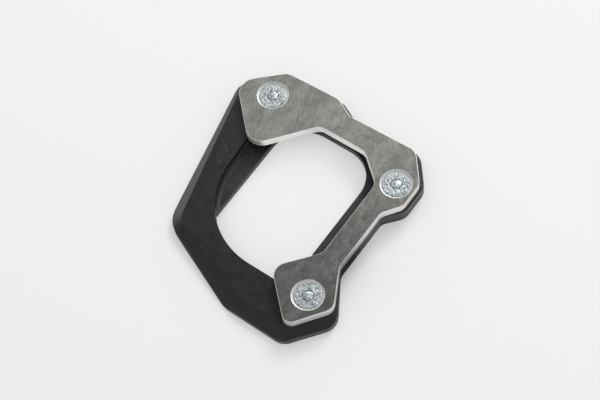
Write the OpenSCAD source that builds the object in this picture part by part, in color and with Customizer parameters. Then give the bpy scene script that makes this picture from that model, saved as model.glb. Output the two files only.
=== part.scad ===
// Kickstand foot enlarger: a milled base, a C-shaped clamp plate and three countersunk screws.
// The foot of a motorcycle's side stand lies in the pocket of the base, under the plate.
// X runs across the through-opening, Y along it, Z is up from the ground face.
// Every outline is a list of corners [x, y, fillet radius], counter-clockwise.

/* [Heights] */
// Thickness of the milled base, from the ground face to the face under the plate
base_h = 5.5; // [5.1:0.1:8]
// Depth of the pocket for the stand's foot
pocket_depth = 3; // [2.4:0.1:3.4]
// Thickness of the clamp plate
plate_h = 3.5; // [3.4:0.1:5]

/* [Base] */
// Width of the base across the through-opening
base_w = 85; // [82:0.1:88]
// Length of the base along the through-opening
base_l = 90; // [87:0.1:93]
// Slope of the outer flank, from the horizontal
flank_angle = 39; // [34:0.5:40]
// Cove that the cutter leaves where the pocket wall meets its floor
pocket_cove = 1.8; // [1:0.1:1.9]
// Width of the through-opening
opening_w = 38.4; // [37.6:0.1:39]
// Distance from the bottom wall of the pocket to the top end of the through-opening
opening_l = 59.1; // [58:0.1:60]
// Radius of the two top corners of the through-opening
opening_r = 13.5; // [10:0.5:15]

/* [Screws] */
// Nominal diameter of the screws
screw_d = 5; // [4.6:0.1:5]
// Diameter of the screw head
head_d = 10; // [9:0.1:10.4]
// Height of the straight rim of the head, above its cone
head_rim = 0.3; // [0.2:0.05:0.4]
// Distance of the seated head's face below the face of the plate
head_sink = 0.45; // [0.3:0.05:0.6]
// Length of a screw over its head
screw_l = 8; // [7:0.1:8.4]
// Width of the hexagon socket across its flats
socket_af = 3; // [2.5:0.1:4]
// Depth of the hexagon socket
socket_depth = 2; // [1.5:0.1:2.2]
// Clearance between a shank and its hole in the plate, on the diameter
shank_clearance = 0.5; // [0.3:0.1:0.8]
// Clearance between a screw and its tapped hole, on the diameter
thread_clearance = 0.1; // [0.06:0.02:0.2]

/* [Hidden] */
eps = 0.01;
bite = 0.2;
over = 1;
quarter = 90;
round_fn = 96;

// the outlines as drawn; base_w and base_l then move their sides apart, each side as one
// the plate, open at the left, so that its outer edge and the edge of its mouth are one line
plate_drawn = [[-49.2, 28.2, 6.5], [-28.9, 8.3, 6], [-11.7, 29, 4], [7.85, 29.15, 5],
    [18.65, 20.2, 6], [18.75, -12.7, 4], [6.9, -26.85, 5], [23.66, -42.52, 3.2],
    [34.36, -28.17, 4.5], [26.8, -13.9, 4], [26.8, 11.45, 4], [31.8, 18.06, 5],
    [31.8, 28.6, 5], [23, 39.3, 5], [-5, 38.4, 4], [-12.8, 42.3, 4], [-34.9, 41.4, 5]];
// the upper edge of the base, where the flank starts
crest_drawn = [[-47.9, 29.4, 4], [-32.9, -28.6, 5], [5, -41.6, 8], [24.1, -41.6, 3.2],
    [34.2, -28.05, 4.5], [26.4, -14.1, 5], [26.5, 11.3, 4], [31.8, 17.95, 5],
    [31.8, 28.6, 5], [23, 39.3, 5], [-3.3, 38.45, 4], [-11.15, 42.37, 4], [-34.9, 41.4, 5]];
// the foot of the base, on the ground
foot_drawn = [[-49.65, 29.7, 5], [-36.9, -30.6, 12], [-0.4, -46, 12], [24.8, -46.3, 6],
    [37.2, -30.4, 6.5], [26.75, -13.8, 6], [26.8, 11.35, 4], [32.55, 18.05, 5.7],
    [32.55, 30.3, 5.7], [24.05, 40.75, 6.5], [-3.92, 39.83, 4], [-11.73, 43.73, 5.4],
    [-35.55, 42.8, 6.4]];
// the wall of the pocket; the part from its third corner on is under the plate
pocket_drawn = [[-33.2, 18, 5], [-29.6, -29, 30], [12, -29, 5], [21.8, -17, 5],
    [21.8, 14, 5], [12, 33, 6], [-18, 33, 6]];
// the middle of the through-opening and the bottom wall of the pocket
opening_at = [-5.3, -29];
screws_drawn = [[-34.1, 30.5], [24.7, 24.2], [23.9, -28.8]];
// the lines that part left from right, and bottom from top
parting = [-2.5, 0];

floor_h = base_h - pocket_depth;
plate_z = base_h;
top_z = base_h + plate_h;
head_cone = (head_d - screw_d) / 2;
mouth_d = head_d + 2 * (head_rim + head_sink);
hole_d = screw_d + shank_clearance;
head_z = top_z - head_sink;
screw_tip = 0.5;

// ---- outlines with true arcs ----
function corner(c, i) = c[(i + len(c)) % len(c)];
function xy(c, i) = [corner(c, i)[0], corner(c, i)[1]];
function ahead(c, i) = (xy(c, i + 1) - xy(c, i)) / norm(xy(c, i + 1) - xy(c, i));
function heading(c, i) = atan2(ahead(c, i)[1], ahead(c, i)[0]);
function turn(c, i) = atan2(ahead(c, i - 1)[0] * ahead(c, i)[1] - ahead(c, i - 1)[1] * ahead(c, i)[0],
    ahead(c, i - 1) * ahead(c, i));
function setback(c, i) = corner(c, i)[2] * tan(abs(turn(c, i)) / 2);
function arc_start(c, i) = xy(c, i) - ahead(c, i - 1) * setback(c, i);
function arc_end(c, i) = xy(c, i) + ahead(c, i) * setback(c, i);
function arc_middle(c, i) = arc_start(c, i)
    + [-ahead(c, i - 1)[1], ahead(c, i - 1)[0]] * corner(c, i)[2] * sign(turn(c, i));
// the furthest that an outline reaches in the direction u
function to_corner(c, i) = (xy(c, i) - arc_middle(c, i)) / norm(xy(c, i) - arc_middle(c, i));
function reach_of(c, i, u) = turn(c, i) > 0 && to_corner(c, i) * u > cos(turn(c, i) / 2)
    ? arc_middle(c, i) * u + corner(c, i)[2] : max(arc_start(c, i) * u, arc_end(c, i) * u);
function extent(c, u) = max([for (i = [0 : len(c) - 1]) reach_of(c, i, u)]);

drawn_size = [extent(foot_drawn, [1, 0]) + extent(foot_drawn, [-1, 0]),
    extent(foot_drawn, [0, 1]) + extent(foot_drawn, [0, -1])];
spread = ([base_w, base_l] - drawn_size) / 2;
function moved(p) = [p[0] + (p[0] > parting[0] ? 1 : -1) * spread[0],
    p[1] + (p[1] > parting[1] ? 1 : -1) * spread[1]];
function spread_out(c) = [for (p = c) concat(moved(p), p[2])];
plate_line = spread_out(plate_drawn);
crest_line = spread_out(crest_drawn);
foot_line = spread_out(foot_drawn);
pocket_line = spread_out(pocket_drawn);
screws_at = [for (p = screws_drawn) moved(p)];
opening_left = opening_at[0] - opening_w / 2;
opening_right = opening_at[0] + opening_w / 2;
opening_bottom = opening_at[1] - spread[1];
opening_top = opening_bottom + opening_l;
opening_line = [[opening_left, opening_bottom - eps, 0], [opening_right, opening_bottom - eps, 0],
    [opening_right, opening_top, opening_r], [opening_left, opening_top, opening_r]];

origin = [(extent(foot_line, [1, 0]) - extent(foot_line, [-1, 0])) / 2,
    (extent(foot_line, [0, 1]) - extent(foot_line, [0, -1])) / 2];

// every arc is this much too large, so that it crosses the straights beside it cleanly
blend = 0.001;
function arc_r(c, i) = corner(c, i)[2] + blend;
function overlap(c, i) = 2 * sqrt(2 * blend * corner(c, i)[2]);

// the piece of a corner's circle from a little inside its chord to its arc
module arc_piece(c, i) {
    a = arc_start(c, i);
    b = arc_end(c, i);
    along = (b - a) / norm(b - a) * 3 * overlap(c, i);
    out = xy(c, i) - (a + b) / 2;
    in = out / norm(out) * 0.5;
    intersection() {
        translate(arc_middle(c, i)) circle(r = arc_r(c, i), $fn = round_fn);
        polygon([a - along - in, b + along - in, b + along + 2 * out, a - along + 2 * out]);
    }
}

module outline(c) {
    difference() {
        union() {
            polygon([for (i = [0 : len(c) - 1]) each
                corner(c, i)[2] > 0 ? [arc_start(c, i), arc_end(c, i)] : [xy(c, i)]]);
            for (i = [0 : len(c) - 1]) if (turn(c, i) > 0 && corner(c, i)[2] > 0) arc_piece(c, i);
        }
        for (i = [0 : len(c) - 1]) if (turn(c, i) < 0) arc_piece(c, i);
    }
}

// profiles [distance from the outline, height], swept along it: first what lies above the flank
function over_flank(w, r, s) = [[r - s * bite, base_h + bite * tan(flank_angle)],
    [r + s * w, base_h - w * tan(flank_angle)], [r + s * w, base_h + bite * tan(flank_angle)]];
// then what the round-nosed cutter leaves at the foot of the pocket's wall, in four flats
flat = 22.5;
bite_run = bite / tan(flat / 2);
function cove(r, s) = concat([[r + s * bite, floor_h - bite],
    [r - s * (pocket_cove + bite_run), floor_h - bite]],
    [for (t = [quarter - flat : -flat : flat])
        [r - s * pocket_cove * (1 - cos(t)), floor_h + pocket_cove * (1 - sin(t))]],
    [[r + s * bite, floor_h + pocket_cove + bite_run]]);
// a straight runs on a little under the arc of an outer corner; at an inner corner the arc does
function run_on(c, i) = turn(c, i) > 0 ? overlap(c, i) : 0;
function swing_on(c, i) = turn(c, i) > 0 ? 0 : overlap(c, i) / corner(c, i)[2] * 180 / PI;

module along_straight(c, i) {
    translate(arc_end(c, i) - ahead(c, i) * run_on(c, i)) rotate([0, 0, heading(c, i)])
        rotate([quarter, 0, quarter])
            linear_extrude(norm(arc_start(c, i + 1) - arc_end(c, i)) + run_on(c, i) + run_on(c, i + 1))
                children();
}

module along_arc(c, i) {
    from = turn(c, i) > 0 ? heading(c, i - 1) - quarter
        : heading(c, i) + quarter - swing_on(c, i);
    translate(arc_middle(c, i)) rotate([0, 0, from])
        rotate_extrude(angle = abs(turn(c, i)) + 2 * swing_on(c, i), $fn = round_fn) children();
}

module flank(c, w) {
    for (i = [0 : len(c) - 1]) {
        along_straight(c, i) polygon(over_flank(w, 0, -1));
        along_arc(c, i) polygon(over_flank(turn(c, i) > 0 ? w : min(w, corner(c, i)[2] / 2),
            arc_r(c, i), sign(turn(c, i))));
    }
}

module coves(c) {
    for (i = [0 : len(c) - 1]) {
        along_straight(c, i) polygon(cove(0, -1));
        along_arc(c, i) polygon(cove(arc_r(c, i), 1));
    }
}

module screw_places() {
    for (at = screws_at) translate(at) children();
}

module base() {
    color([0.17, 0.17, 0.18]) translate([-origin[0], -origin[1], 0]) difference() {
        linear_extrude(base_h) outline(foot_line);
        flank(crest_line, 2 * base_h / tan(flank_angle));
        difference() {
            translate([0, 0, floor_h]) linear_extrude(base_h) outline(pocket_line);
            coves(pocket_line);
        }
        translate([0, 0, -over]) linear_extrude(base_h + 2 * over) intersection() {
            outline(opening_line);
            outline(pocket_line);
        }
        screw_places() translate([0, 0, -over])
            cylinder(d = screw_d + thread_clearance, h = base_h + 2 * over, $fn = 48);
    }
}

module clamp_plate() {
    color([0.62, 0.62, 0.6]) translate([-origin[0], -origin[1], plate_z]) difference() {
        linear_extrude(plate_h) outline(plate_line);
        screw_places() {
            translate([0, 0, -over])
                cylinder(d = hole_d, h = plate_h + 2 * over, $fn = round_fn);
            translate([0, 0, plate_h - (mouth_d - hole_d) / 2])
                cylinder(d1 = hole_d, d2 = mouth_d + 2 * over,
                    h = (mouth_d - hole_d) / 2 + over, $fn = round_fn);
        }
    }
}

module screw() {
    difference() {
        rotate_extrude($fn = round_fn) polygon([[0, head_z - screw_l],
            [screw_d / 2 - screw_tip, head_z - screw_l],
            [screw_d / 2, head_z - screw_l + screw_tip], [screw_d / 2, head_z - head_rim - head_cone],
            [head_d / 2, head_z - head_rim], [head_d / 2, head_z], [0, head_z]]);
        translate([0, 0, head_z - socket_depth])
            cylinder(d = socket_af / cos(30), h = socket_depth + over, $fn = 6);
    }
}

module left_screw() {
    color([0.75, 0.77, 0.8]) translate(concat(screws_at[0] - origin, 0)) rotate([0, 0, 10]) screw();
}

module right_screw() {
    color([0.75, 0.77, 0.8]) translate(concat(screws_at[1] - origin, 0)) rotate([0, 0, 35]) screw();
}

module lower_screw() {
    color([0.75, 0.77, 0.8]) translate(concat(screws_at[2] - origin, 0)) rotate([0, 0, 50]) screw();
}

base();
clamp_plate();
left_screw();
right_screw();
lower_screw();
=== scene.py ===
import bpy
import bmesh
import math
from mathutils import Matrix, Vector


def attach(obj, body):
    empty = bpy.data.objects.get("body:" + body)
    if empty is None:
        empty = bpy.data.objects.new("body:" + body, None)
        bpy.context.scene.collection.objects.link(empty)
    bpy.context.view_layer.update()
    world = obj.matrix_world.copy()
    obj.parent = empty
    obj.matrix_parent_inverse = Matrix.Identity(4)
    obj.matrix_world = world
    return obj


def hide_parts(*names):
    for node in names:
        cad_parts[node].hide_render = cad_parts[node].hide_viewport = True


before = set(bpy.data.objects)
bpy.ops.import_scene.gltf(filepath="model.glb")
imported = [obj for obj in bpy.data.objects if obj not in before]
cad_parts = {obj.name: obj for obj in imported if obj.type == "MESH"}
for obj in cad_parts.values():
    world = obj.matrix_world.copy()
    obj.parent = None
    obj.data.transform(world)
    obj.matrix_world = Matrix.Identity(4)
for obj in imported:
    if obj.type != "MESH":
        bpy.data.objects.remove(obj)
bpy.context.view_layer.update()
mm = 0.001
print("frame loaded")


# camera: the photograph's own view, found from its three screw rings
view = {"elevation": 60.62, "roll": -8.48, "turn": 43.0, "distance": 568.9, "lens": 96.336,
        "sensorWidth": 36, "clipStart": 0.01, "target": (6.70, 1.29, 9.0)}


def placeCamera(values):
    up = math.radians(values["elevation"])
    roll = math.radians(values["roll"])
    turn = Matrix.Rotation(math.radians(values["turn"]), 3, "Z")
    forward = Vector((0, math.cos(up), -math.sin(up)))
    right = Vector((1, 0, 0))
    above = right.cross(forward)
    rolledRight = right * math.cos(roll) + above * math.sin(roll)
    rolledUp = above * math.cos(roll) - right * math.sin(roll)
    axes = [turn @ v for v in (rolledRight, rolledUp, -forward)]
    spot = Vector(values["target"]) - (turn @ forward) * values["distance"]
    data = bpy.data.cameras.new("camera")
    data.sensor_fit = "HORIZONTAL"
    data.sensor_width = values["sensorWidth"]
    data.lens = values["lens"]
    data.clip_start = values["clipStart"]
    camera = bpy.data.objects.new("camera", data)
    bpy.context.scene.collection.objects.link(camera)
    camera.matrix_world = Matrix.Translation(spot * mm) @ Matrix(axes).transposed().to_4x4()
    bpy.context.scene.camera = camera


placeCamera(view)
print("camera placed")


# node helpers
def newMaterial(name):
    material = bpy.data.materials.new(name)
    material.use_nodes = True
    nodes = material.node_tree.nodes
    nodes.clear()
    shader = nodes.new("ShaderNodeBsdfPrincipled")
    output = nodes.new("ShaderNodeOutputMaterial")
    material.node_tree.links.new(shader.outputs["BSDF"], output.inputs["Surface"])
    return material, shader


def addNode(tree, kind, links=None, **values):
    node = tree.nodes.new(kind)
    for key, value in values.items():
        if hasattr(node, key):
            setattr(node, key, value)
        else:
            node.inputs[key.replace("_", " ")].default_value = value
    for socket, source in (links or {}).items():
        tree.links.new(source, node.inputs[socket])
    return node


# shader groups that more than one finish uses
def newGroup(name, inputs, outputs):
    group = bpy.data.node_groups.new(name, "ShaderNodeTree")
    for label, kind, value in inputs:
        socket = group.interface.new_socket(label, in_out="INPUT", socket_type=kind)
        if value is not None:
            socket.default_value = value
    for label, kind in outputs:
        group.interface.new_socket(label, in_out="OUTPUT", socket_type=kind)
    return group, addNode(group, "NodeGroupInput"), addNode(group, "NodeGroupOutput")


def maths(tree, operation, first, second=None, third=None):
    node = addNode(tree, "ShaderNodeMath", operation=operation)
    for index, value in enumerate((first, second, third)):
        if value is None:
            continue
        if isinstance(value, (int, float)):
            node.inputs[index].default_value = value
        else:
            tree.links.new(value, node.inputs[index])
    return node.outputs[0]


mottleShape = {"roughness": 0.62, "least": 0.32, "most": 0.68}
millWobble = {"scale": 160.0, "reach": 0.0012}


def makeMottle(values):    # soft cloudy patches
    group, given, result = newGroup(
        "mottle", [("Vector", "NodeSocketVector", None), ("Scale", "NodeSocketFloat", 200.0),
                   ("Detail", "NodeSocketFloat", 3.0)], [("Value", "NodeSocketFloat")])
    noise = addNode(group, "ShaderNodeTexNoise",
                    {"Vector": given.outputs["Vector"], "Scale": given.outputs["Scale"],
                     "Detail": given.outputs["Detail"]}, Roughness=values["roughness"])
    spread = addNode(group, "ShaderNodeMapRange", {"Value": noise.outputs["Fac"]},
                     interpolation_type="SMOOTHSTEP")
    spread.inputs["From Min"].default_value = values["least"]
    spread.inputs["From Max"].default_value = values["most"]
    group.links.new(spread.outputs["Result"], result.inputs["Value"])
    return group


def makeStreaks():    # long thin marks that run one way
    group, given, result = newGroup(
        "streaks", [("Vector", "NodeSocketVector", None), ("Turn", "NodeSocketVector", (0, 0, 0)),
                    ("Length", "NodeSocketVector", (30, 900, 30)),
                    ("Least", "NodeSocketFloat", 0.5), ("Most", "NodeSocketFloat", 0.8)],
        [("Mask", "NodeSocketFloat")])
    turned = addNode(group, "ShaderNodeMapping",
                     {"Vector": given.outputs["Vector"], "Rotation": given.outputs["Turn"]},
                     vector_type="POINT")
    drawn = addNode(group, "ShaderNodeVectorMath",
                    {0: turned.outputs["Vector"], 1: given.outputs["Length"]}, operation="MULTIPLY")
    noise = addNode(group, "ShaderNodeTexNoise", {"Vector": drawn.outputs["Vector"]}, Scale=1.0,
                    Detail=2.0)
    cut = addNode(group, "ShaderNodeMapRange",
                  {"Value": noise.outputs["Fac"], "From Min": given.outputs["Least"],
                   "From Max": given.outputs["Most"]})
    group.links.new(cut.outputs["Result"], result.inputs["Mask"])
    return group


def makeMillMarks(values):    # the arcs that a milling cutter leaves as it is fed along
    group, given, result = newGroup(
        "mill_marks", [("Vector", "NodeSocketVector", None),
                       ("Turn", "NodeSocketVector", (0, 0, 0)),
                       ("Radius", "NodeSocketFloat", 0.012), ("Pass", "NodeSocketFloat", 0.02),
                       ("Feed", "NodeSocketFloat", 0.0008)], [("Height", "NodeSocketFloat")])
    turned = addNode(group, "ShaderNodeMapping",
                     {"Vector": given.outputs["Vector"], "Rotation": given.outputs["Turn"]},
                     vector_type="POINT")
    axes = addNode(group, "ShaderNodeSeparateXYZ", {"Vector": turned.outputs["Vector"]})
    across = maths(group, "PINGPONG", axes.outputs["Y"], given.outputs["Pass"])
    square = maths(group, "SUBTRACT", maths(group, "MULTIPLY", given.outputs["Radius"],
                                            given.outputs["Radius"]),
                   maths(group, "MULTIPLY", across, across))
    arc = maths(group, "SQRT", maths(group, "MAXIMUM", square, 0.0))
    along = maths(group, "SUBTRACT", axes.outputs["X"], arc)
    uneven = addNode(group, "ShaderNodeTexNoise", {"Vector": given.outputs["Vector"]},
                     Scale=values["scale"])
    pushed = maths(group, "MULTIPLY_ADD", uneven.outputs["Fac"], values["reach"], along)
    phase = maths(group, "DIVIDE", pushed, given.outputs["Feed"])
    wave = maths(group, "SINE", maths(group, "MULTIPLY", phase, 2 * math.pi))
    group.links.new(maths(group, "MULTIPLY_ADD", wave, 0.5, 0.5), result.inputs["Height"])
    return group


mottle = makeMottle(mottleShape)
streaks = makeStreaks()
millMarks = makeMillMarks(millWobble)


def useGroup(tree, group, links, **values):
    node = addNode(tree, "ShaderNodeGroup", node_tree=group)
    for label, value in values.items():
        node.inputs[label].default_value = value
    for label, source in links.items():
        tree.links.new(source, node.inputs[label])
    return node.outputs[0]


def setColor(tree, shader, mask, values, clamp=True):
    node = addNode(tree, "ShaderNodeMix", {0: mask}, data_type="RGBA", clamp_factor=clamp)
    node.inputs[6].default_value = values["dark"]
    node.inputs[7].default_value = values["light"]
    tree.links.new(node.outputs[2], shader.inputs["Base Color"])


def ramp(tree, value, low, high, least=0.0, most=1.0):
    node = addNode(tree, "ShaderNodeMapRange", {"Value": value})
    limits = {"From Min": low, "From Max": high, "To Min": least, "To Max": most}
    for label, number in limits.items():
        node.inputs[label].default_value = number
    return node.outputs["Result"]


def between(tree, mask, limits):
    return maths(tree, "MULTIPLY_ADD", mask, limits[1] - limits[0], limits[0])


def setBump(tree, shader, depth):    # depth in millimetres
    bump = addNode(tree, "ShaderNodeBump", {"Height": depth}, Strength=1.0, Distance=mm)
    tree.links.new(bump.outputs["Normal"], shader.inputs["Normal"])


# materials: depths in millimetres, turns in radians, lengths of the mill marks in metres
anodised = {"dark": (0.0120, 0.0112, 0.0114, 1), "light": (0.0270, 0.0255, 0.0256, 1), "ior": 1.5,
            "roughness": (0.26, 0.36), "patchScale": 300.0, "patchDetail": 4.0,
            "grainScale": 2600.0, "grainDepth": 0.010, "grainShade": 0.5,
            "markDepth": 0.02, "levelFrom": 0.965, "levelTo": 0.99,
            "legTurn": 0.55, "legRadius": 0.011, "legPass": 0.013, "legFeed": 0.0011,
            "legShade": 0.55,
            "pocketTurn": 0.2, "pocketRadius": 0.024, "pocketPass": 0.02, "pocketFeed": 0.0009,
            "pocketShade": 2.2, "pocketRoughness": 0.12, "pocketTop": 0.0031}
stainless = {"dark": (0.29, 0.294, 0.272, 1), "light": (0.65, 0.655, 0.62, 1),
             "roughness": (0.175, 0.245), "cloudScale": 210.0, "cloudDetail": 2.5,
             "cloudShade": 0.12,
             "patchLength": (70, 230, 70), "patchRange": (0.34, 0.66), "patchShade": 0.34,
             "brushTurn": -1.7, "brushLength": (620, 2700, 620), "brushRange": (0.32, 0.68),
             "brushShade": 0.55, "brushDepth": 0.004,
             "scratchTurn": -2.2, "scratchLength": (90, 2200, 90), "scratchRange": (0.60, 0.74),
             "scratchShade": 0.35, "scratchDepth": -0.004}
# cut faces and broken edges of the sheet: partly the rougher cut metal, partly a painted reflection
# of the pale floor, given as a near-white matte share that is bright from every side
cutEdgeSheen = {"dark": (0.72, 0.715, 0.705, 1), "light": (0.90, 0.895, 0.88, 1), "metallic": 0.68,
           "roughness": (0.34, 0.44), "lineLength": (120, 120, 1800), "lineRange": (0.3, 0.7)}
zinc = {"dark": (0.22, 0.28, 0.31, 1), "light": (0.72, 0.765, 0.765, 1), "metallic": 0.5,
        "roughness": (0.24, 0.34), "stippleScale": 1250.0, "stippleDepth": 0.06,
        "spread": (0.05, 0.8)}
# painted glint: a near-white matte finish in the screw sockets that stands in for the highlight on
# the hex walls
socketGlint = {"dark": (0.95, 0.97, 0.98, 1), "light": (0.99, 0.995, 0.99, 1), "metallic": 0.0,
              "roughness": (0.2, 0.3), "stippleScale": 1400.0, "stippleDepth": 0.05,
              "spread": (0.0, 1.0)}
zincGrain = {"detail": 2.0, "stippleShade": 0.6, "cloudScale": 700.0, "cloudDetail": 3.0,
             "cloudShade": 0.4}


def anodisedMaterial(values):
    material, shader = newMaterial("black_anodised")
    shader.inputs["IOR"].default_value = values["ior"]
    tree = material.node_tree
    place = addNode(tree, "ShaderNodeTexCoord").outputs["Object"]
    height = addNode(tree, "ShaderNodeSeparateXYZ", {"Vector": place}).outputs["Z"]
    facing = addNode(tree, "ShaderNodeSeparateXYZ",
                     {"Vector": addNode(tree, "ShaderNodeNewGeometry").outputs["Normal"]})
    level = ramp(tree, facing.outputs["Z"], values["levelFrom"], values["levelTo"])
    inPocket = maths(tree, "LESS_THAN", height, values["pocketTop"])
    legMarks = useGroup(tree, millMarks, {"Vector": place}, Turn=(0, 0, values["legTurn"]),
                        Radius=values["legRadius"], Pass=values["legPass"], Feed=values["legFeed"])
    pocketMarks = useGroup(tree, millMarks, {"Vector": place}, Turn=(0, 0, values["pocketTurn"]),
                           Radius=values["pocketRadius"], Pass=values["pocketPass"],
                           Feed=values["pocketFeed"])
    marks = addNode(tree, "ShaderNodeMix", {0: inPocket, 2: legMarks, 3: pocketMarks}).outputs[0]
    patches = useGroup(tree, mottle, {"Vector": place}, Scale=values["patchScale"],
                       Detail=values["patchDetail"])
    shown = maths(tree, "MULTIPLY", maths(tree, "MULTIPLY", marks, level), patches)
    speck = useGroup(tree, mottle, {"Vector": place}, Scale=values["grainScale"], Detail=2.0)
    shade = ramp(tree, inPocket, 0.0, 1.0, values["legShade"], values["pocketShade"])
    tone = maths(tree, "MULTIPLY_ADD", shown, shade,
                 maths(tree, "MULTIPLY", speck, values["grainShade"]))
    setColor(tree, shader, tone, values, clamp=False)
    rough = maths(tree, "MULTIPLY_ADD", inPocket, values["pocketRoughness"],
                  between(tree, patches, values["roughness"]))
    tree.links.new(rough, shader.inputs["Roughness"])
    depth = maths(tree, "MULTIPLY_ADD", shown, values["markDepth"],
                  maths(tree, "MULTIPLY", speck, values["grainDepth"]))
    setBump(tree, shader, depth)
    return material


def stainlessMaterial(values):
    material, shader = newMaterial("stainless_sheet")
    shader.inputs["Metallic"].default_value = 1.0
    tree = material.node_tree
    place = addNode(tree, "ShaderNodeTexCoord").outputs["Object"]
    clouds = useGroup(tree, mottle, {"Vector": place}, Scale=values["cloudScale"],
                      Detail=values["cloudDetail"])
    tone = maths(tree, "MULTIPLY", clouds, values["cloudShade"])
    masks = {}
    for mark, turn in (("patch", "brushTurn"), ("brush", "brushTurn"), ("scratch", "scratchTurn")):
        least, most = values[mark + "Range"]
        masks[mark] = useGroup(tree, streaks, {"Vector": place}, Turn=(0, 0, values[turn]),
                               Length=values[mark + "Length"], Least=least, Most=most)
        tone = maths(tree, "MULTIPLY_ADD", masks[mark], values[mark + "Shade"], tone)
    setColor(tree, shader, tone, values)
    tree.links.new(between(tree, clouds, values["roughness"]), shader.inputs["Roughness"])
    depth = maths(tree, "MULTIPLY_ADD", masks["brush"], values["brushDepth"],
                  maths(tree, "MULTIPLY", masks["scratch"], values["scratchDepth"]))
    setBump(tree, shader, depth)
    return material


def cutEdgeSheenMaterial(values):
    material, shader = newMaterial("stainless_cut_edge_sheen")
    shader.inputs["Metallic"].default_value = values["metallic"]
    tree = material.node_tree
    place = addNode(tree, "ShaderNodeTexCoord").outputs["Object"]
    least, most = values["lineRange"]
    lines = useGroup(tree, streaks, {"Vector": place}, Length=values["lineLength"], Least=least,
                     Most=most)
    setColor(tree, shader, lines, values)
    tree.links.new(between(tree, lines, values["roughness"]), shader.inputs["Roughness"])
    return material


def zincAndGlintMaterial(name, values, grain):
    material, shader = newMaterial(name)
    shader.inputs["Metallic"].default_value = values["metallic"]
    tree = material.node_tree
    place = addNode(tree, "ShaderNodeTexCoord").outputs["Object"]
    stipple = useGroup(tree, mottle, {"Vector": place}, Scale=values["stippleScale"],
                       Detail=grain["detail"])
    clouds = useGroup(tree, mottle, {"Vector": place}, Scale=grain["cloudScale"],
                      Detail=grain["cloudDetail"])
    tone = maths(tree, "MULTIPLY_ADD", stipple, grain["stippleShade"],
                 maths(tree, "MULTIPLY", clouds, grain["cloudShade"]))
    tone = ramp(tree, tone, *values["spread"])
    setColor(tree, shader, tone, values)
    tree.links.new(between(tree, clouds, values["roughness"]), shader.inputs["Roughness"])
    setBump(tree, shader, maths(tree, "MULTIPLY", stipple, values["stippleDepth"]))
    return material


black = anodisedMaterial(anodised)
steel = stainlessMaterial(stainless)
edge = cutEdgeSheenMaterial(cutEdgeSheen)
plated = zincAndGlintMaterial("zinc_plated", zinc, zincGrain)
glintInSocket = zincAndGlintMaterial("socket_painted_glint", socketGlint, zincGrain)
print("materials made")


# edges broken as on the real piece, then one plain mesh each; angles in degrees
edgeShape = {"leastAngle": 24, "weight": 100, "alike": 0.01}
cadCleaning = {"mergeWithin": 2e-6, "flatWithin": 0.4}


def finishPiece(piece, node, finish, limit, breakMaterial):
    bevel = piece.modifiers.new("bevel", "BEVEL")
    bevel.width = finish["edgeBreak"] * mm
    bevel.segments = finish["segments"]
    bevel.limit_method = limit
    bevel.angle_limit = math.radians(edgeShape["leastAngle"])
    bevel.use_clamp_overlap = True
    bevel.material = breakMaterial
    weighted = piece.modifiers.new("weighted", "WEIGHTED_NORMAL")
    weighted.mode = "FACE_AREA"
    weighted.weight = edgeShape["weight"]
    weighted.thresh = edgeShape["alike"]
    weighted.keep_sharp = False
    bpy.context.view_layer.update()
    graph = bpy.context.evaluated_depsgraph_get()
    finished = bpy.data.meshes.new_from_object(piece.evaluated_get(graph))
    piece.modifiers.clear()
    old = piece.data
    piece.data = finished
    bpy.data.meshes.remove(old)
    finished.name = piece.name
    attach(piece, "root")
    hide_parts(node)


def newPiece(name, mesh):
    piece = bpy.data.objects.new(name, mesh)
    bpy.context.scene.collection.objects.link(piece)
    return piece


def dress(node, name, materials, finish):
    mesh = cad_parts[node].data.copy()
    mesh.name = name
    work = bmesh.new()
    work.from_mesh(mesh)
    bmesh.ops.remove_doubles(work, verts=work.verts, dist=cadCleaning["mergeWithin"])
    bmesh.ops.dissolve_limit(work, angle_limit=math.radians(cadCleaning["flatWithin"]),
                             verts=work.verts, edges=work.edges, delimit=set())
    work.normal_update()
    work.to_mesh(mesh)
    work.free()
    mesh.materials.clear()
    for material in materials:
        mesh.materials.append(material)
    for face in mesh.polygons:
        face.material_index = 0
        face.use_smooth = True
    piece = newPiece(name, mesh)
    finishPiece(piece, node, finish, "ANGLE", len(materials) - 1)
    return piece


# the three equal screws: sizes in millimetres, built from the head's face down
screwSizes = {"Head Diameter": 10.0, "Head Rim": 0.3, "Shank Diameter": 5.0, "Length": 8.0,
              "Socket Width": 3.0, "Socket Depth": 2.0, "Thread Pitch": 0.8, "Thread Depth": 0.4,
              "Least Broken Angle": 24.0}
# steps of the curves; shares of the pitch, the thread's depth and the socket's sizes
screwDetail = {"round": 72, "turnSteps": 32, "toothCorners": 3,
               "plainPitches": 1.5, "tipPitches": 0.5, "ridgeSink": 0.85, "ridgeSize": 0.8,
               "socketReach": 0.62, "socketTop": -0.2, "socketFoot": -1.1}
screwFinish = {"edgeBreak": 0.26, "segments": 3}


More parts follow.
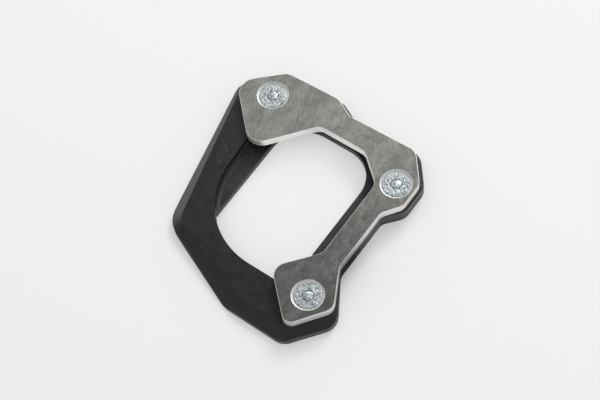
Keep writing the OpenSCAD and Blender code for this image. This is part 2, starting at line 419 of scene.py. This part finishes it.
def screwTree(sizes, detail, plated, glintInSocket):
    tree = bpy.data.node_groups.new("countersunk_screw", "GeometryNodeTree")
    for label, value in sizes.items():
        socket = tree.interface.new_socket(label, in_out="INPUT", socket_type="NodeSocketFloat")
        socket.default_value = value
    tree.interface.new_socket("Spot", in_out="INPUT", socket_type="NodeSocketVector")
    tree.interface.new_socket("Geometry", in_out="OUTPUT", socket_type="NodeSocketGeometry")
    given = addNode(tree, "NodeGroupInput").outputs
    result = addNode(tree, "NodeGroupOutput")

    def times(value, factor):
        return maths(tree, "MULTIPLY", value, factor)

    def lowered(geometry, drop):
        spot = addNode(tree, "ShaderNodeCombineXYZ", {"Z": times(drop, -1.0)})
        node = addNode(tree, "GeometryNodeTransform",
                       {"Geometry": geometry, "Translation": spot.outputs["Vector"]})
        return node.outputs["Geometry"]

    def rounded(radius, depth, corners=detail["round"]):
        node = addNode(tree, "GeometryNodeMeshCylinder", {"Radius": radius, "Depth": depth},
                       Vertices=corners)
        return lowered(node.outputs["Mesh"], times(depth, 0.5))

    # head: rim and cone in one, with the hexagon socket cut out
    headRadius = times(given["Head Diameter"], 0.5)
    shankRadius = times(given["Shank Diameter"], 0.5)
    rim = rounded(headRadius, given["Head Rim"])
    coneDepth = maths(tree, "SUBTRACT", headRadius, shankRadius)
    cone = addNode(tree, "GeometryNodeMeshCone",
                   {"Radius Top": headRadius, "Radius Bottom": shankRadius, "Depth": coneDepth},
                   Vertices=detail["round"])
    cone = lowered(cone.outputs["Mesh"], maths(tree, "ADD", given["Head Rim"], coneDepth))
    head = addNode(tree, "GeometryNodeMeshBoolean", operation="UNION")
    tree.links.new(rim, head.inputs["Mesh 2"])
    tree.links.new(cone, head.inputs["Mesh 2"])
    key = rounded(maths(tree, "DIVIDE", given["Socket Width"], math.sqrt(3)),
                  times(given["Socket Depth"], 2.0), 6)
    key = lowered(key, times(given["Socket Depth"], -1.0))
    bored = addNode(tree, "GeometryNodeMeshBoolean",
                    {"Mesh 1": head.outputs["Mesh"], "Mesh 2": key}, operation="DIFFERENCE")
    corner = addNode(tree, "GeometryNodeInputMeshEdgeAngle").outputs["Unsigned Angle"]
    limit = maths(tree, "RADIANS", given["Least Broken Angle"])
    broken = addNode(tree, "GeometryNodeStoreNamedAttribute",
                     {"Geometry": bored.outputs["Mesh"],
                      "Value": maths(tree, "GREATER_THAN", corner, limit)},
                     data_type="FLOAT", domain="EDGE", Name="bevel_weight_edge")

    # shank: a core and one spiral ridge
    core = rounded(maths(tree, "SUBTRACT", shankRadius, given["Thread Depth"]), given["Length"])
    plain = maths(tree, "ADD", coneDepth, times(given["Thread Pitch"], detail["plainPitches"]))
    threadLength = maths(tree, "SUBTRACT", given["Length"], plain)
    middle = maths(tree, "SUBTRACT", shankRadius, times(given["Thread Depth"], detail["ridgeSink"]))
    turns = maths(tree, "DIVIDE", threadLength, given["Thread Pitch"])
    spiral = addNode(tree, "GeometryNodeCurveSpiral",
                     {"Rotations": turns, "Start Radius": middle, "End Radius": middle,
                      "Height": threadLength}, Resolution=detail["turnSteps"])
    tooth = addNode(tree, "GeometryNodeCurvePrimitiveCircle",
                    {"Radius": times(given["Thread Depth"], detail["ridgeSize"])},
                    Resolution=detail["toothCorners"])
    ridge = addNode(tree, "GeometryNodeCurveToMesh",
                    {"Curve": spiral.outputs["Curve"], "Profile Curve": tooth.outputs["Curve"]})
    ridge.inputs["Fill Caps"].default_value = True
    ridgeFoot = maths(tree, "SUBTRACT", given["Length"],
                      times(given["Thread Pitch"], detail["tipPitches"]))
    ridge = lowered(ridge.outputs["Mesh"], ridgeFoot)
    whole = addNode(tree, "GeometryNodeJoinGeometry")
    for part in (broken.outputs["Geometry"], core, ridge):
        tree.links.new(part, whole.inputs["Geometry"])
    placed = addNode(tree, "GeometryNodeTransform",
                     {"Geometry": whole.outputs["Geometry"], "Translation": given["Spot"]},
                     Scale=(mm, mm, mm))
    smooth = addNode(tree, "GeometryNodeSetShadeSmooth", {"Geometry": placed.outputs["Geometry"]})
    real = addNode(tree, "GeometryNodeRealizeInstances", {"Geometry": smooth.outputs["Geometry"]})
    allPlated = addNode(tree, "GeometryNodeSetMaterial", {"Geometry": real.outputs["Geometry"]},
                        Material=plated)

    # the socket's painted glint, a near-white matte finish that stands in for the highlight on the
    # hex walls, chosen by place
    place = addNode(tree, "ShaderNodeVectorMath",
                    {0: addNode(tree, "GeometryNodeInputPosition").outputs["Position"],
                     1: given["Spot"]}, operation="SUBTRACT")
    axes = addNode(tree, "ShaderNodeSeparateXYZ", {"Vector": place.outputs["Vector"]}).outputs
    across = addNode(tree, "ShaderNodeCombineXYZ", {"X": axes["X"], "Y": axes["Y"]})
    reach = addNode(tree, "ShaderNodeVectorMath", {0: across.outputs["Vector"]}, operation="LENGTH")
    near = maths(tree, "LESS_THAN", reach.outputs["Value"],
                 times(given["Socket Width"], detail["socketReach"] * mm))
    below = maths(tree, "LESS_THAN", axes["Z"], detail["socketTop"] * mm)
    above = maths(tree, "GREATER_THAN", axes["Z"],
                  times(given["Socket Depth"], detail["socketFoot"] * mm))
    chosen = times(times(near, below), above)
    bright = addNode(tree, "GeometryNodeSetMaterial",
                     {"Geometry": allPlated.outputs["Geometry"], "Selection": chosen},
                     Material=glintInSocket)
    tree.links.new(bright.outputs["Geometry"], result.inputs["Geometry"])
    return tree


screws = screwTree(screwSizes, screwDetail, plated, glintInSocket)


def buildScrew(node, finish):
    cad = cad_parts[node]
    box = [cad.matrix_world @ Vector(corner) for corner in cad.bound_box]
    top = max(corner.z for corner in box)
    middle = sum(box, Vector()) / len(box)
    piece = newPiece(node + "_body", bpy.data.meshes.new(node + "_body"))
    make = piece.modifiers.new("make", "NODES")
    make.node_group = screws
    for item in screws.interface.items_tree:
        if item.in_out == "INPUT" and item.name in screwSizes:
            make[item.identifier] = screwSizes[item.name]
        elif item.in_out == "INPUT":
            make[item.identifier] = (middle.x, middle.y, top)
    finishPiece(piece, node, finish, "WEIGHT", -1)


baseFinish = {"edgeBreak": 0.22, "segments": 2}
base = dress("base", "base_body", [black], baseFinish)

plateFinish = {"edgeBreak": 0.2, "segments": 2, "sheetFrom": 0.9}
# the sheet's side faces and broken edges take the cut-edge finish with its painted reflection
plate = dress("clamp_plate", "plate_body", [steel, edge], plateFinish)
for face in plate.data.polygons:
    if abs(face.normal.z) < plateFinish["sheetFrom"]:
        face.material_index = 1

for node in ("left_screw", "right_screw", "lower_screw"):
    buildScrew(node, screwFinish)
print("pieces dressed")


# floor, world and lights; spots in millimetres, the floor's and lamps' sizes in metres
# painted light and shade on the floor: each pool is a spot, an inner and an outer radius, and what
# it adds to the glow; the first lifts the shade inside the opening, the second takes glow away for
# a painted shadow beside the neck
paleFloor = {"color": (0.886, 0.883, 0.881, 1), "size": 3.0, "roughness": 0.6, "specular": 0.2,
             "glow": 0.36, "mirrorGlow": 3.5, "mostMirror": 0.43, "nearby": 0.016, "samples": 8,
             "paintedLightAndShade": (((0, 9, 0), 12, 30, 0.40), ((40, -7, 0), 4, 15, -0.36))}
studio = {"plain": 0.70,
          "stops": ((0.0, 1.3), (0.25, 0.70), (0.45, 0.40), (0.62, 0.34), (0.78, 0.20),
                    (1.0, 0.15)),
          "dimSide": (-0.728, -0.571, 0.377), "dimFrom": 0.86, "dimTo": 0.97, "dimShare": 0.5}
lamps = {"topBox": {"spot": (-128, 168, 275), "aim": (-14, 30, 9), "size": (0.2, 0.118),
                    "radiance": 0.3},
         "key": {"spot": (-142, 1174, 929), "aim": (0, 0, 5), "size": (0.62, 0.5),
                 "radiance": 11.0}}


def makeFloor(values):
    mesh = bpy.data.meshes.new("floor")
    size = values["size"]
    mesh.from_pydata([(-size, -size, 0), (size, -size, 0), (size, size, 0), (-size, size, 0)], [],
                     [(0, 1, 2, 3)])
    floor = bpy.data.objects.new("floor", mesh)
    bpy.context.scene.collection.objects.link(floor)
    material, shader = newMaterial("floor")
    shader.inputs["Base Color"].default_value = values["color"]
    shader.inputs["Roughness"].default_value = values["roughness"]
    shader.inputs["Specular IOR Level"].default_value = values["specular"]
    tree = material.node_tree
    output = next(node for node in tree.nodes if node.type == "OUTPUT_MATERIAL")
    path = addNode(tree, "ShaderNodeLightPath")
    mirrored = path.outputs["Is Glossy Ray"]
    openShare = addNode(tree, "ShaderNodeAmbientOcclusion", samples=values["samples"],
                        Distance=values["nearby"])
    place = addNode(tree, "ShaderNodeTexCoord").outputs["Object"]
    level = values["glow"]
    # painted light and shade: the pools raise the floor's glow inside the opening and lower it
    # beside the neck
    for spot, inner, outer, gain in values["paintedLightAndShade"]:
        away = addNode(tree, "ShaderNodeVectorMath", {0: place}, operation="DISTANCE")
        away.inputs[1].default_value = [part * mm for part in spot]
        paintedPool = ramp(tree, away.outputs["Value"], inner * mm, outer * mm, gain, 0.0)
        level = maths(tree, "ADD", paintedPool, level)
    seen = maths(tree, "MULTIPLY", path.outputs["Is Camera Ray"], level)
    # mirrored rays see the floor glowing brighter than it is lit, dimmed by ambient occlusion near
    # the object: a painted reflection with painted shade near the walls
    power = maths(tree, "MULTIPLY", maths(tree, "MULTIPLY", mirrored, values["mirrorGlow"]),
                  maths(tree, "MULTIPLY", maths(tree, "MINIMUM", level, values["mostMirror"]),
                        openShare.outputs["AO"]))
    power = maths(tree, "ADD", power, path.outputs["Is Camera Ray"])
    glow = addNode(tree, "ShaderNodeEmission", {"Strength": power}, Color=values["color"])
    share = maths(tree, "MAXIMUM", seen, mirrored)
    mix = addNode(tree, "ShaderNodeMixShader", {0: share, 1: shader.outputs["BSDF"],
                                               2: glow.outputs["Emission"]})
    tree.links.new(mix.outputs["Shader"], output.inputs["Surface"])
    mesh.materials.append(material)


def makeWorld(values):    # mirrored rays see a graded sky, all others a plain one
    world = bpy.data.worlds.new("studio")
    bpy.context.scene.world = world
    world.use_nodes = True
    tree = world.node_tree
    tree.nodes.clear()
    output = addNode(tree, "ShaderNodeOutputWorld")
    coords = addNode(tree, "ShaderNodeTexCoord")
    split = addNode(tree, "ShaderNodeSeparateXYZ", {"Vector": coords.outputs["Generated"]})
    sky = addNode(tree, "ShaderNodeValToRGB", {"Fac": split.outputs["Z"]})
    points = sky.color_ramp.elements
    stops = values["stops"]
    while len(points) < len(stops):
        points.new(0.5)
    for point, (place, level) in zip(points, stops):
        point.position = place
        point.color = (level, level, level, 1)
    toSide = addNode(tree, "ShaderNodeVectorMath", {0: coords.outputs["Generated"]},
                     operation="DOT_PRODUCT")
    toSide.inputs[1].default_value = values["dimSide"]
    dim = ramp(tree, toSide.outputs["Value"], values["dimFrom"], values["dimTo"], 1.0,
               1.0 - values["dimShare"])
    glossy = addNode(tree, "ShaderNodeBackground", {"Color": sky.outputs["Color"], "Strength": dim})
    plain = addNode(tree, "ShaderNodeBackground", Strength=values["plain"])
    plain.inputs["Color"].default_value = (1, 1, 1, 1)
    path = addNode(tree, "ShaderNodeLightPath")
    mix = addNode(tree, "ShaderNodeMixShader", {0: path.outputs["Is Glossy Ray"],
                                               1: plain.outputs["Background"],
                                               2: glossy.outputs["Background"]})
    tree.links.new(mix.outputs["Shader"], output.inputs["Surface"])


def makeArea(name, spot, aim, size, radiance):
    data = bpy.data.lights.new(name, "AREA")
    data.shape = "RECTANGLE"
    data.size, data.size_y = size
    data.energy = radiance * math.pi * size[0] * size[1]
    lamp = bpy.data.objects.new(name, data)
    bpy.context.scene.collection.objects.link(lamp)
    away = Vector(spot) - Vector(aim)
    turned = away.to_track_quat("Z", "Y").to_matrix().to_4x4()
    lamp.matrix_world = Matrix.Translation(Vector(spot) * mm) @ turned


makeFloor(paleFloor)
makeWorld(studio)
for name, values in lamps.items():
    makeArea(name, **values)
bpy.context.scene.view_settings.view_transform = "Standard"
print("studio made")
